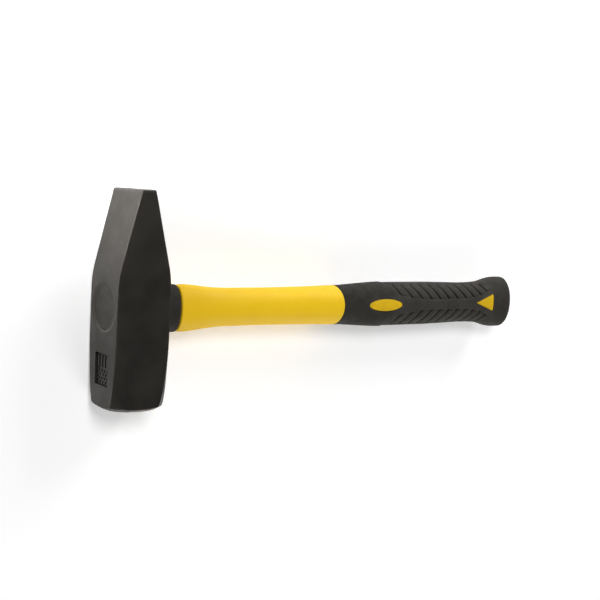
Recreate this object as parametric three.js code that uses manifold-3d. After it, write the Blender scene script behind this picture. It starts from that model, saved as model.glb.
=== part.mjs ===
// Cross-pein hammer with a forged steel head on a moulded glass-fibre handle.
// Frame, in millimetres: +X runs along the handle to its end, +Y along the head to the pein, +Z is up.
// The hammer lies on its side. The origin is on the head's lower side face, straight under the eye's centre.
import * as THREE from 'three';
import { mergeVertices } from 'three/addons/utils/BufferGeometryUtils.js';
import Module from 'manifold-3d';

const wasm = await Module();
wasm.setup();

// ---------- Driving dimensions ----------

const FIT_GAP = 0.3; // clearance between pieces that are moulded, potted or pushed together
const SECTION_SIDES = 32; // facets round the handle
const THROUGH = 60; // reach of a cutter that goes right through

const HEAD_HALF = 18.3; // half the width of the square body
const AXIS_Z = HEAD_HALF; // height of the handle's axis above the lower side face
const FACE_Y = -61.9; // striking face
const PEIN_Y = 74.9; // tip of the pein
const PEIN_HALF_THICKNESS = 4.5;
const PEIN_HALF_WIDTH = 19.4; // the pein spreads a little wider than the body
const SHOULDER_Y = 20.2; // where the body's flats would meet the pein's slopes
const SHOULDER_RADIUS = 60;
const FACE_BEVEL = { width: 2.4, height: 1.3 }; // ground bevel round the striking face
const PEIN_BEVEL = 0.7;
// How far the four long corners are cut back, from the eye down to the striking face.
const CORNER_CUTS = [
  { y: -12, cut: 0 },
  { y: -21, cut: 0.5 },
  { y: -31, cut: 1.2 },
  { y: -41, cut: 2.0 },
  { y: -49, cut: 3.1 },
  { y: -55, cut: 4.6 },
  { y: FACE_Y, cut: 7.2 },
];

// The eye narrows towards its middle, so that the resin in it locks the head both ways.
const EYE = [
  { x: -HEAD_HALF, tall: 12.8, wide: 9.6 },
  { x: -5, tall: 11.4, wide: 8.2 },
  { x: 5, tall: 11.4, wide: 8.2 },
  { x: HEAD_HALF, tall: 12.4, wide: 8.8 },
];
const DISH = { radius: 14.9, depth: 2.2, y: 1.4 }; // round counterbore at the eye's front mouth
const RESIN_CAP_THICKNESS = 0.8;
const STAMP = { width: 17, height: 20, depth: 1.5, y: -37.2, z: AXIS_Z - 0.5 }; // recessed panel

const CORE = { tall: 7.6, wide: 4.9, front: -12.5, end: 304 }; // oval glass-fibre rod
const RESIN_SOCKET_FRONT = CORE.front - FIT_GAP;

const SLEEVE_END = 31.6;
const JACKET_FRONT = SLEEVE_END + FIT_GAP;
const GRIP_FRONT = 159.3;
const JACKET_END = 313;
const GRIP_WALL = { tall: 3.2, wide: 2.7 };
const SECTION_POWER = 2.15; // a touch squarer than an ellipse

// Half heights (tall, along Y) and half thicknesses (wide, along Z) along the handle.
const SLEEVE = [
  { x: HEAD_HALF + FIT_GAP, tall: 15.5, wide: 9.7 },
  { x: 21, tall: 15.3, wide: 9.5 },
  { x: SLEEVE_END - 1, tall: 15.1, wide: 9.4 },
  { x: SLEEVE_END, tall: 14.5, wide: 8.9 },
];
const JACKET = [
  { x: JACKET_FRONT, tall: 14.8, wide: 9.1 },
  { x: 36.6, tall: 15.4, wide: 9.7 },
  { x: 50, tall: 14.0, wide: 9.7 },
  { x: 64, tall: 12.9, wide: 9.8 },
  { x: 85, tall: 12.6, wide: 10.2 },
  { x: 110, tall: 12.8, wide: 10.9 },
  { x: 136, tall: 13.2, wide: 11.6 },
  { x: GRIP_FRONT - FIT_GAP, tall: 13.8, wide: 12.2 },
];
const GRIP = [
  { x: GRIP_FRONT, tall: 13.9, wide: 12.3 },
  { x: 179, tall: 15.0, wide: 12.8 },
  { x: 198, tall: 16.0, wide: 13.2 },
  { x: 206, tall: 15.7, wide: 13.0 },
  { x: 238, tall: 15.7, wide: 12.8 },
  { x: 275, tall: 15.0, wide: 12.1 },
  { x: 291, tall: 15.4, wide: 11.8 },
  { x: 303, tall: 17.9, wide: 11.8 },
  { x: 312, tall: 19.2, wide: 11.8 },
];
const BULB = { x: 318.3, tall: 19.2, wide: 11.5, length: 7.6, steps: 6 };

// Yellow marks: bosses of the jacket that fill windows in the grip, the same on both sides.
const OVAL_MARK = { x: 196.3, halfLength: 15.0, halfHeight: 4.5 };
const TRIANGLE_MARK = { apex: 285.2, base: 303.3, halfHeight: 6.6, cornerRadius: 1 };
const MARK_STANDS_PROUD = 0.3;

// ---------- Materials ----------

const paint = (color, roughness, metalness) =>
  new THREE.MeshStandardMaterial({ color, roughness, metalness });
const blackSteel = paint(0x3a3836, 0.5, 0.6);
const blackResin = paint(0x45423f, 0.6, 0);
const glassFibre = paint(0xd9d2b0, 0.5, 0);
const blackRubber = paint(0x35332f, 0.8, 0);
const yellowPlastic = paint(0xecbf22, 0.4, 0);

// ---------- Solids ----------

/** A closed three.js geometry as a solid that can be joined and cut. */
function solid(geometry) {
  geometry.deleteAttribute('normal');
  geometry.deleteAttribute('uv');
  const merged = mergeVertices(geometry, 1e-4);
  return new wasm.Manifold(new wasm.Mesh({
    numProp: 3,
    vertProperties: new Float32Array(merged.attributes.position.array),
    triVerts: new Uint32Array(merged.index.array),
  }));
}

/** A named mesh made from a solid. */
function piece(name, manifold, material) {
  const mesh = manifold.getMesh();
  const geometry = new THREE.BufferGeometry();
  geometry.setAttribute('position', new THREE.BufferAttribute(mesh.vertProperties, 3));
  geometry.setIndex(new THREE.BufferAttribute(mesh.triVerts, 1));
  geometry.computeVertexNormals();
  const result = new THREE.Mesh(geometry, material);
  result.name = name;
  return result;
}

/** Closed body through a list of rings of points, each ring with the same number of points. */
function loftRings(rings) {
  const sides = rings[0].length;
  const middle = (ring) => ring
    .reduce((sum, point) => sum.add(point), new THREE.Vector3())
    .divideScalar(sides);
  const first = rings[0];
  const last = rings[rings.length - 1];
  const points = [...rings.flat(), middle(first), middle(last)];
  const index = [];
  const startMiddle = points.length - 2;
  const endMiddle = points.length - 1;
  const endRing = (rings.length - 1) * sides;
  for (let side = 0; side < sides; side += 1) {
    const next = (side + 1) % sides;
    index.push(startMiddle, next, side);
    index.push(endMiddle, endRing + side, endRing + next);
    for (let ring = 0; ring < rings.length - 1; ring += 1) {
      const here = ring * sides;
      const beyond = here + sides;
      index.push(here + side, here + next, beyond + side);
      index.push(here + next, beyond + next, beyond + side);
    }
  }
  const geometry = new THREE.BufferGeometry().setFromPoints(points);
  geometry.setIndex(index);
  return solid(geometry);
}

/** One rounded-oval section across the handle. */
function ovalRing({ x, tall, wide }, power) {
  return Array.from({ length: SECTION_SIDES }, (_, side) => {
    const angle = (side / SECTION_SIDES) * 2 * Math.PI;
    const squash = (value) => Math.sign(value) * Math.abs(value) ** (2 / power);
    const y = tall * squash(Math.cos(angle));
    const z = wide * squash(Math.sin(angle));
    return new THREE.Vector3(x, y, AXIS_Z + z);
  });
}

const loftAlongHandle = (stations, power = SECTION_POWER) =>
  loftRings(stations.map((station) => ovalRing(station, power)));

const grown = (stations, tall, wide = tall) =>
  stations.map((s) => ({ x: s.x, tall: s.tall + tall, wide: s.wide + wide }));

/** The same stations with a smooth curve run through them, `steps` sections per span. */
function smoothed(stations, steps) {
  const curve = new THREE.CatmullRomCurve3(
    stations.map((s) => new THREE.Vector3(s.x, s.tall, s.wide)), false, 'centripetal');
  const count = (stations.length - 1) * steps;
  return curve.getPoints(count).map((p) => ({ x: p.x, tall: p.y, wide: p.z }));
}

/** A flat outline in the XY plane, extruded right through along Z. */
function extrudedAlongZ(shape) {
  const geometry = new THREE.ExtrudeGeometry(
    shape, { depth: 2 * THROUGH, bevelEnabled: false, curveSegments: 24 });
  return solid(geometry.translate(0, 0, AXIS_Z - THROUGH));
}

/** A flat outline given in the ZY plane, extruded right through along X. */
function extrudedAlongX(shape) {
  const geometry = new THREE.ExtrudeGeometry(shape, { depth: 2 * THROUGH, bevelEnabled: false });
  geometry.rotateY(-Math.PI / 2);
  return solid(geometry.translate(THROUGH, 0, AXIS_Z));
}

function boxBetween(low, high) {
  const size = new THREE.Vector3().subVectors(high, low);
  const centre = new THREE.Vector3().addVectors(high, low).divideScalar(2);
  return solid(new THREE.BoxGeometry(size.x, size.y, size.z).translate(centre.x, centre.y, centre.z));
}

/** A round bar along X, from xStart to xEnd. */
function barAlongX(radius, xStart, xEnd, y, z) {
  const geometry = new THREE.CylinderGeometry(radius, radius, xEnd - xStart, 48);
  geometry.rotateZ(-Math.PI / 2);
  return solid(geometry.translate((xStart + xEnd) / 2, y, z));
}

// ---------- Head ----------

/** The hammer seen from its side: square body below, wedge-shaped pein above. */
function sideOutline() {
  const slope = Math.atan2(HEAD_HALF - PEIN_HALF_THICKNESS, PEIN_Y - SHOULDER_Y);
  const tangent = SHOULDER_RADIUS * Math.tan(slope / 2);
  const arcY = SHOULDER_Y - tangent;
  const arcX = HEAD_HALF - SHOULDER_RADIUS;
  const bevelX = PEIN_HALF_THICKNESS - PEIN_BEVEL;
  const shape = new THREE.Shape();
  shape.moveTo(-HEAD_HALF + FACE_BEVEL.width, FACE_Y);
  shape.lineTo(HEAD_HALF - FACE_BEVEL.width, FACE_Y);
  shape.lineTo(HEAD_HALF, FACE_Y + FACE_BEVEL.height);
  shape.lineTo(HEAD_HALF, arcY);
  shape.absarc(arcX, arcY, SHOULDER_RADIUS, 0, slope, false);
  shape.lineTo(PEIN_HALF_THICKNESS, PEIN_Y - PEIN_BEVEL);
  shape.lineTo(bevelX, PEIN_Y);
  shape.lineTo(-bevelX, PEIN_Y);
  shape.lineTo(-PEIN_HALF_THICKNESS, PEIN_Y - PEIN_BEVEL);
  shape.absarc(-arcX, arcY, SHOULDER_RADIUS, Math.PI - slope, Math.PI, false);
  shape.lineTo(-HEAD_HALF, FACE_Y + FACE_BEVEL.height);
  return shape;
}

/** The hammer seen from the front, along the handle: parallel sides that spread at the pein. */
function frontOutline() {
  const right = [
    [HEAD_HALF - FACE_BEVEL.width, FACE_Y],
    [HEAD_HALF, FACE_Y + FACE_BEVEL.height],
    [HEAD_HALF, SHOULDER_Y],
    [PEIN_HALF_WIDTH, PEIN_Y],
  ];
  const left = right.map(([z, y]) => [-z, y]).reverse();
  return new THREE.Shape([...right, ...left].map(([z, y]) => new THREE.Vector2(z, y)));
}

/** Everything inside the cut-back long corners. It stands clear of the head's flats and ends. */
function insideCorners() {
  const clear = 1;
  const reach = HEAD_HALF + clear;
  const octagon = ({ y, cut }) => {
    const flat = HEAD_HALF - cut - clear;
    const corners = [
      [reach, flat], [reach, -flat], [flat, -reach], [-flat, -reach],
      [-reach, -flat], [-reach, flat], [-flat, reach], [flat, reach],
    ];
    return corners.map(([x, z]) => new THREE.Vector3(x, y, AXIS_Z + z));
  };
  const first = CORNER_CUTS[0];
  const last = CORNER_CUTS[CORNER_CUTS.length - 1];
  const lower = loftRings([
    octagon({ y: last.y - clear, cut: last.cut }),
    ...[...CORNER_CUTS].reverse().map(octagon),
    octagon({ y: first.y + clear, cut: first.cut }),
  ]);
  const upper = boxBetween(
    new THREE.Vector3(-THROUGH, first.y, -THROUGH),
    new THREE.Vector3(THROUGH, PEIN_Y + THROUGH, THROUGH + AXIS_Z));
  return lower.add(upper);
}

/** The space inside the eye, carried straight on past both of its mouths. */
function eyeSpace(clearance) {
  const inside = grown(smoothed(EYE, 2), -clearance);
  const before = { ...inside[0], x: -THROUGH };
  const beyond = { ...inside[inside.length - 1], x: THROUGH };
  return loftAlongHandle([before, ...inside, beyond], 2);
}

function hammerHead() {
  const stamp = boxBetween(
    new THREE.Vector3(-THROUGH, STAMP.y - STAMP.height / 2, STAMP.z - STAMP.width / 2),
    new THREE.Vector3(-HEAD_HALF + STAMP.depth, STAMP.y + STAMP.height / 2, STAMP.z + STAMP.width / 2));
  const dish = barAlongX(DISH.radius, -THROUGH, -HEAD_HALF + DISH.depth, DISH.y, AXIS_Z);
  return extrudedAlongZ(sideOutline())
    .intersect(extrudedAlongX(frontOutline()))
    .intersect(insideCorners())
    .subtract(eyeSpace(0))
    .subtract(dish)
    .subtract(stamp);
}

// ---------- Handle ----------

const coreSection = (x, clearance) =>
  ({ x, tall: CORE.tall + clearance, wide: CORE.wide + clearance });

const coreBar = (xStart, xEnd, clearance = 0) =>
  loftAlongHandle([coreSection(xStart, clearance), coreSection(xEnd, clearance)], 2);

/** Resin cast round the rod in the eye, closed over the rod's front end by a round cap. */
function eyeResin() {
  const capBack = -HEAD_HALF + DISH.depth - FIT_GAP;
  const capFront = capBack - RESIN_CAP_THICKNESS;
  const cap = barAlongX(DISH.radius - FIT_GAP, capFront, capBack, DISH.y, AXIS_Z);
  const insideHead = boxBetween(
    new THREE.Vector3(capFront, -THROUGH, -THROUGH), new THREE.Vector3(HEAD_HALF, THROUGH, THROUGH));
  return eyeSpace(FIT_GAP)
    .intersect(insideHead)
    .add(cap)
    .subtract(coreBar(RESIN_SOCKET_FRONT, THROUGH, FIT_GAP));
}

const neckSleeve = () =>
  loftAlongHandle(SLEEVE).subtract(coreBar(0, THROUGH, FIT_GAP));

const bulbStations = Array.from({ length: BULB.steps + 1 }, (_, step) => {
  const angle = (step / BULB.steps) * 0.49 * Math.PI;
  return {
    x: BULB.x + BULB.length * Math.sin(angle),
    tall: BULB.tall * Math.cos(angle),
    wide: BULB.wide * Math.cos(angle),
  };
});
const gripStations = [...smoothed(GRIP, 2), ...bulbStations];

/** Half height and half thickness of the grip's outside at one place along the handle. */
function gripAt(x) {
  const next = gripStations.findIndex((s) => s.x >= x);
  const after = gripStations[next];
  const before = gripStations[Math.max(next - 1, 0)];
  const share = after === before ? 0 : (x - before.x) / (after.x - before.x);
  return {
    x,
    tall: THREE.MathUtils.lerp(before.tall, after.tall, share),
    wide: THREE.MathUtils.lerp(before.wide, after.wide, share),
  };
}

/** The part of the jacket that lies under the grip, or the room for it. */
function underGrip(clearance) {
  const first = GRIP_FRONT - 1;
  const last = JACKET_END + clearance;
  const spans = 9;
  const stations = Array.from({ length: spans + 1 }, (_, i) => gripAt(
    Math.max(GRIP_FRONT, first + ((last - first) * i) / spans)));
  stations[0].x = first;
  return loftAlongHandle(grown(stations, clearance - GRIP_WALL.tall, clearance - GRIP_WALL.wide));
}

function ovalShape(clearance) {
  const shape = new THREE.Shape();
  shape.absellipse(OVAL_MARK.x, 0, OVAL_MARK.halfLength + clearance, OVAL_MARK.halfHeight + clearance,
    0, 2 * Math.PI, false);
  return shape;
}

/** Triangle that points at the head, with rounded corners. */
function triangleShape(clearance) {
  const { apex, base, halfHeight, cornerRadius } = TRIANGLE_MARK;
  const corners = [[apex, 0], [base, -halfHeight], [base, halfHeight]]
    .map(([x, y]) => new THREE.Vector2(x, y));
  const middle = new THREE.Vector2().add(corners[0]).add(corners[1]).add(corners[2]).divideScalar(3);
  const inradius = base - middle.x;
  const scale = (inradius + clearance) / inradius;
  corners.forEach((corner) => corner.sub(middle).multiplyScalar(scale).add(middle));
  const shape = new THREE.Shape();
  corners.forEach((corner, i) => {
    const before = corners[(i + 2) % 3];
    const after = corners[(i + 1) % 3];
    const step = 2 * cornerRadius;
    const arrive = corner.clone().add(before.clone().sub(corner).setLength(step));
    const leave = corner.clone().add(after.clone().sub(corner).setLength(step));
    if (i === 0) shape.moveTo(arrive.x, arrive.y);
    else shape.lineTo(arrive.x, arrive.y);
    shape.quadraticCurveTo(corner.x, corner.y, leave.x, leave.y);
  });
  return shape;
}

const markShapes = (clearance) => [ovalShape(clearance), triangleShape(clearance)];

function handleJacket() {
  const skin = loftAlongHandle(grown(gripStations, MARK_STANDS_PROUD));
  const marks = markShapes(0).map((shape) => extrudedAlongZ(shape).intersect(skin));
  return loftAlongHandle(smoothed(JACKET, 2))
    .add(underGrip(0))
    .add(marks[0])
    .add(marks[1])
    .subtract(coreBar(0, CORE.end + FIT_GAP, FIT_GAP));
}

function grip() {
  const windows = markShapes(FIT_GAP).map((shape) => extrudedAlongZ(shape));
  return loftAlongHandle(gripStations)
    .subtract(underGrip(FIT_GAP))
    .subtract(windows[0])
    .subtract(windows[1]);
}

// ---------- Assembly ----------

const hammer = new THREE.Group();
hammer.add(
  piece('hammer_head', hammerHead(), blackSteel),
  piece('eye_resin', eyeResin(), blackResin),
  piece('handle_core', coreBar(CORE.front, CORE.end), glassFibre),
  piece('neck_sleeve', neckSleeve(), blackRubber),
  piece('handle_jacket', handleJacket(), yellowPlastic),
  piece('grip', grip(), blackRubber),
);

export default hammer;
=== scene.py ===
"""Cross-pein hammer: the looks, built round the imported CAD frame. Lengths are in millimetres unless noted."""
import math

import bmesh
import bpy
from mathutils import Matrix, Vector, noise


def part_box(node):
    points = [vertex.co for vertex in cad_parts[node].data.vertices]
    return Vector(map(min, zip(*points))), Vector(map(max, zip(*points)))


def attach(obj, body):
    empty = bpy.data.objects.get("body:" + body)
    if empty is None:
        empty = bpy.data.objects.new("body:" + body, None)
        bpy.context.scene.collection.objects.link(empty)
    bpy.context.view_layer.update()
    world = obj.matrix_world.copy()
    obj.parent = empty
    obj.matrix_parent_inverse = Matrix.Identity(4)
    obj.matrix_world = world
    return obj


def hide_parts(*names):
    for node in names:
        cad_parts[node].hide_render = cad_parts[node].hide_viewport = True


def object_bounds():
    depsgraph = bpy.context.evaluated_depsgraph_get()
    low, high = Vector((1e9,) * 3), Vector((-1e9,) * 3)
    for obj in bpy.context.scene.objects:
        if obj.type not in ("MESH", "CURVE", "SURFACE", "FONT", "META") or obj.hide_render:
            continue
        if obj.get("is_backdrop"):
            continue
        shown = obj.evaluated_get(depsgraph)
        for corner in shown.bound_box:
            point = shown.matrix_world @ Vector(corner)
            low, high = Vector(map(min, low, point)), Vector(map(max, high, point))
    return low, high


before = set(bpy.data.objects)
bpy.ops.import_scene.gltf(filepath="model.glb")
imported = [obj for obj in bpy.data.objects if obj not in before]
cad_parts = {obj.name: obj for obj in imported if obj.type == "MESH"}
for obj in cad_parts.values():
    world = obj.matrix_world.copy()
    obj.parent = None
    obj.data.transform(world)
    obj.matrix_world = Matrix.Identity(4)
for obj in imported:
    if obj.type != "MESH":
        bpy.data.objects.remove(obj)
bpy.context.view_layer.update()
MM = 0.001


def node_box(name):
    """A CAD node's lowest and highest corners, in millimetres."""
    low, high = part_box(name)
    return low / MM, high / MM


HEAD_LOW, HEAD_HIGH = node_box("hammer_head")
RESIN_LOW, RESIN_HIGH = node_box("eye_resin")
CORE_LOW, CORE_HIGH = node_box("handle_core")
SLEEVE_HIGH = node_box("neck_sleeve")[1]
JACKET_LOW, JACKET_HIGH = node_box("handle_jacket")
GRIP_HIGH = node_box("grip")[1]

AXIS_Z = (CORE_LOW.z + CORE_HIGH.z) / 2
FIT_GAP = 0.3  # clearance between the CAD's pieces
SEAM = 0.15  # visible gap where two pieces meet
NEARLY_STRAIGHT = math.radians(2)  # a cut's leftover points that bend an edge less than this are removed

# Head
HEAD_HALF = HEAD_HIGH.x
FACE_Y = HEAD_LOW.y
PEIN_Y = HEAD_HIGH.y
PEIN_HALF_WIDTH = HEAD_HIGH.z - AXIS_Z
PEIN_HALF_THICKNESS = 4.65
SHOULDER_Y = 20.6
SHOULDER_RADIUS = 60
FACE_DROP = 0.5  # how far the ground face stands below the CAD's
CHAMFER = (2.6, 1.6)  # width and height of the ground chamfer round the striking face
CHAMFER_POWER = 2.7  # 2 would be a turned cone, which cuts the corners most
CHAMFER_BLEND = 0.35  # width of the soft turn from the face into the chamfer
CHAMFER_WEAR = 0.45  # how bare the chamfer is where its paint is thin
PAINT_END = (-9, -5)  # between these places along X the paint on the chamfer wears thin
FACE_CROWN = 0.35  # how far the striking face bulges
PEIN_ROUNDING = 0.6
EDGE_RADIUS = 0.5
EDGE_RUB = 0.12  # how much the paint on the long edges is worn. At the pein's tip it is worn fully, which is 1.
CORNER_CUTS = [(FACE_Y, 6.2), (-58, 5.1), (-55, 4.3), (-49, 3.0), (-41, 2.0), (-31, 1.25), (-22, 0.7),
               (-14, EDGE_RADIUS), (PEIN_Y, EDGE_RADIUS)]  # place along Y, and how far the corners are cut
STRAIGHT_CUT = 2.2  # from this size on, a corner's cut is straight
ROUND_CORNER, CUT_CORNER = 0.9, 0.05  # roundness of the smallest and of the straight cuts, up to 1
# Unevenness of the forged flats: waves per millimetre, height, and where the noise is read
FORGE_SWELLS = [(0.07, 0.05, Vector((0, 0, 0))), (0.25, 0.015, Vector((9, 0, 0)))]
# The eye's sections: place along X, half height along Y, half thickness along Z
EYE = [(-HEAD_HALF, 12.8, 9.6), (-5, 11.4, 8.2), (5, 11.4, 8.2), (HEAD_HALF, 12.4, 8.8)]
DISH_Y = (RESIN_LOW.y + RESIN_HIGH.y) / 2
DISH_RADIUS = (RESIN_HIGH.y - RESIN_LOW.y) / 2 + FIT_GAP
DISH_DEPTH = 2.4
DISH_LIP = 1.0  # how far the bowl's mouth reaches past the dish's radius
DISH_SLOPE = 6.0  # width of the sloping part of the bowl
DISH_BOWL = 1.7  # depth of the bowl's flat middle
RIM_HIGHLIGHT = 0.7  # strength of the painted highlight on the dish's rim
RIM_HIGHLIGHT_SIDE = Vector((-0.8, 0.7))  # the side of the rim with the painted highlight, along Y and Z
CAP_RADIUS = DISH_RADIUS - 1.3
CAP_THICKNESS = 0.8
CAP_BREAK = 0.12  # how far the cap's edge is broken
CAP_GAP = 0.05  # visible gap round the resin's cap
STAMP_CENTRE = Vector((-HEAD_HALF, -37.2, AXIS_Z - 0.5))
STAMP_SIZE = (20, 17)  # along Y and along Z
STAMP_DEPTH = 1.75
STAMP_BLOCK_DROP = 1.05  # how far the tops of the bars and blocks are below the face
BAR_SIZE, BAR_Y = (8.0, 2.1), 4.8  # sizes are along Y and Z, and places are from the panel's centre
BAR_PLACES = (-5.9, -2.1, 1.7, 5.5)  # along Z
BLOCK_SIZE = (1.5, 2.2)
BLOCK_ROWS = (-1.2, -3.6, -6.0, -8.4)  # along Y
BLOCK_PLACES = (-6.4, -2.7, 1.0, 4.7)  # along Z
BLOCK_STAGGER = 1.6  # of every other row, along Z

# Handle. A TALL list has places along X with half heights along Y, and a WIDE list half thicknesses along Z.
SECTION_POWER = 2.15  # a touch squarer than an ellipse
CORE_TALL = (CORE_HIGH.y - CORE_LOW.y) / 2
CORE_WIDE = (CORE_HIGH.z - CORE_LOW.z) / 2
SLEEVE_TALL, SLEEVE_WIDE = 15.4, 9.6
SLEEVE_FLANGE = (0.6, 1.2, 1.9)  # how far it stands out, its length, and where its foot ends
JACKET_TALL = [(31.9, 15.0), (36.6, 15.4), (41, 15.1), (45.5, 14.7), (50, 14.05), (59, 13.2),
               (64, 12.9), (73, 12.7), (97, 12.65), (116, 12.85), (136, 13.2), (147, 13.5), (161, 13.8)]
JACKET_WIDE = [(31.9, 9.6), (50, 9.7), (85, 10.2), (110, 10.9), (136, 11.6), (161, 12.2)]
GRIP_TALL = [(161, 13.85), (165.6, 13.9), (168.6, 14.2), (174, 14.6), (179, 15.05), (185, 15.4),
             (190, 15.75), (198.6, 16.05), (200.4, 15.6), (210, 15.7), (238, 15.7), (250, 15.5),
             (262, 15.25), (275, 15.0), (283, 15.05), (290, 15.3), (296, 15.95), (303.4, 17.9),
             (307.6, 18.75), (312, 19.2), (318.3, 19.2)]
GRIP_WIDE = [(161, 12.25), (179, 12.8), (198, 13.2), (206, 13.0), (238, 12.8), (275, 12.1),
             (291, 11.8), (318.3, 11.5)]
BULB_X = 318.3  # where the rounded end begins
BULB_RINGS = 14
BULB_POWER = 0.9  # 1 would be an ellipse. Less is squarer.
GRIP_WALL = (3.2, 2.7)  # along Y and along Z
GRIP_FRONT_SWEEP = 2.3  # how much further forward the grip's front edge is at its top and bottom
GRIP_FRONT = 160.1  # the front edge's place at mid height
OVAL = (196.3, 15.0, 4.3)  # centre, half length, half height
TRIANGLE = (285.2, 303.3, 6.6)  # apex, base, half height
TRIANGLE_ROUNDING = 0.6
MARK_RISE = 0.4  # how far the marks' middles are from the handle's axis, towards the pein
MARK_PROUD = 0.3
MARK_ROUNDING = 0.5
MARK_GAP = 0.22  # round a mark, in the grip's window

# Grip pattern: slanting grooves in both flanks of each side, beside a smooth raised spine
PATTERN_START, PATTERN_STOP = (203, 209), (299, 305)  # along X, where the pattern fades in and out
GROOVES = 11
FIRST_GROOVE = 215.0
GROOVE_PITCH = 8.75
GROOVE_HALF_WIDTH = 1.15
GROOVE_DEPTH = 1.3
GROOVE_FADE = 0.55  # share of the depth that is lost towards the outer ends
# A groove's profile, and places for sections across it, as shares of its half width
GROOVE_FLOOR = 0.35
GROOVE_STEPS = (GROOVE_FLOOR, 0.5, 0.67, 0.85, 1, 1.2)
SLANT_START = 3.5  # height beside the axis where the slant begins
GROOVE_SLANT = 0.76  # how far a groove runs back along X for each millimetre away from the spine
SLANT_ON, SLANT_OFF = (197, 213), (300, 314)  # along X, where the sections lean into the grooves' slant
FLANK_DROP = 0.75  # how far the flanks are below the spine
FLANK_OUTER = 15.2  # height beside the axis where the flanks end
FLANK_FADE = 1.4  # width of the rise there
SPINE_STEP = 0.7  # width of the step down from the spine to a flank
RIB_CROWN = 0.2
MARK_RIM = 0.4  # how far the grip swells round a mark
MARK_RIM_FADE = (0.9, 1.7)  # the swelling dies out between these distances from the mark
FOOT_SHADE = 0.75  # painted shadow along the spine's foot, where 1 is the painted shade in a groove
PALER_START, PALER_STOP = (197, 214), (298, 306)  # where the rubber is paler
PALER_LOSS = 0.45  # share of that which is lost on the bulb
SPINE_EDGE = [(203, 8.4), (212, 6.7), (222, 5.1), (232, 3.9), (245, 3.5), (275, 3.7), (283.5, 4.6),
              (291.5, 6.0), (299.5, 9.2), (306, 11.5)]  # half the spine's height along X


# ---------- Numbers ----------

def smooth_curve(points):
    """A smooth function through (x, value) points that doesn't overshoot them."""
    xs = [p[0] for p in points]
    values = [p[1] for p in points]
    secants = [(b[1] - a[1]) / (b[0] - a[0]) for a, b in zip(points, points[1:])]
    inner = [0 if a * b <= 0 else 2 * a * b / (a + b) for a, b in zip(secants, secants[1:])]
    slopes = [secants[0], *inner, secants[-1]]

    def at(x):
        if x <= xs[0]:
            return values[0]
        if x >= xs[-1]:
            return values[-1]
        i = max(k for k in range(len(xs) - 1) if xs[k] <= x)
        span = xs[i + 1] - xs[i]
        t = (x - xs[i]) / span
        rise = t * t * (3 - 2 * t)
        start_pull = t * (1 - t) ** 2 * span * slopes[i]
        end_pull = t * t * (t - 1) * span * slopes[i + 1]
        return values[i] + (values[i + 1] - values[i]) * rise + start_pull + end_pull
    return at


def ramp(x, start, stop):
    """0 before start, 1 after stop, with a smooth rise between them."""
    t = min(max((x - start) / (stop - start), 0), 1)
    return t * t * (3 - 2 * t)


def steps(start, stop, size):
    """Evenly spaced places from start to stop, no further apart than size."""
    count = max(1, math.ceil(abs(stop - start) / size))
    return [start + (stop - start) * i / count for i in range(count + 1)]


def bend(start, pull, stop, t):
    """A place on the curve from start to stop that is drawn towards pull. t runs from 0 to 1."""
    return start * (1 - t) ** 2 + pull * 2 * t * (1 - t) + stop * t * t


jacket_tall, jacket_wide = smooth_curve(JACKET_TALL), smooth_curve(JACKET_WIDE)
grip_tall, grip_wide = smooth_curve(GRIP_TALL), smooth_curve(GRIP_WIDE)
spine_edge = smooth_curve(SPINE_EDGE)
corner_cut = smooth_curve(CORNER_CUTS)


# ---------- Meshes ----------

def new_object(name, points, faces):
    """A smooth-shaded mesh object from points in millimetres."""
    mesh = bpy.data.meshes.new(name)
    mesh.from_pydata([Vector(p) * MM for p in points], [], faces)
    made = bpy.data.objects.new(name, mesh)
    bpy.context.scene.collection.objects.link(made)
    tidy_mesh(made)
    return made


def tidy_mesh(piece, crease=40):
    """Faces out, smooth shading, and sharp edges where the surface turns by over `crease` degrees."""
    work = bmesh.new()
    work.from_mesh(piece.data)
    bmesh.ops.remove_doubles(work, verts=work.verts, dist=1e-7)
    on_an_edge = [v for v in work.verts if len(v.link_edges) == 2]
    straight = [v for v in on_an_edge if v.calc_edge_angle(0) < NEARLY_STRAIGHT]
    bmesh.ops.dissolve_verts(work, verts=straight)
    bmesh.ops.recalc_face_normals(work, faces=work.faces)
    work.to_mesh(piece.data)
    work.free()
    piece.data.polygons.foreach_set("use_smooth", [True] * len(piece.data.polygons))
    piece.data.set_sharp_from_angle(angle=math.radians(crease))


def loft(name, rings, loop=False):
    """A closed body through rings of points. A loop joins the last ring to the first, as in a tube."""
    sides = len(rings[0])
    points = [p for ring in rings for p in ring]
    faces = []
    for r in range(len(rings) if loop else len(rings) - 1):
        here, beyond = r * sides, (r + 1) % len(rings) * sides
        for s in range(sides):
            n = (s + 1) % sides
            faces.append((here + s, here + n, beyond + n, beyond + s))
    if not loop:
        for ring, base in ((rings[0], 0), (rings[-1], (len(rings) - 1) * sides)):
            points.append(sum((Vector(p) for p in ring), Vector()) / sides)
            faces += [(base + s, base + (s + 1) % sides, len(points) - 1) for s in range(sides)]
    return new_object(name, points, faces)


def store(piece, name, values):
    """Keeps one number per point under a name that a material can read."""
    layer = piece.data.attributes.get(name) or piece.data.attributes.new(name, "FLOAT", "POINT")
    layer.data.foreach_set("value", values)


def apply_modifiers(piece):
    """Turns what the modifiers make into the piece's own mesh."""
    depsgraph = bpy.context.evaluated_depsgraph_get()
    mesh = bpy.data.meshes.new_from_object(piece.evaluated_get(depsgraph))
    piece.modifiers.clear()
    piece.data = mesh


def boolean(piece, tool, operation):
    """Cuts or joins one mesh with another, and removes the tool."""
    modifier = piece.modifiers.new(operation, "BOOLEAN")
    modifier.operation = operation
    modifier.object = tool
    modifier.solver = "EXACT"
    bpy.context.view_layer.update()
    apply_modifiers(piece)
    bpy.data.objects.remove(tool)


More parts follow.
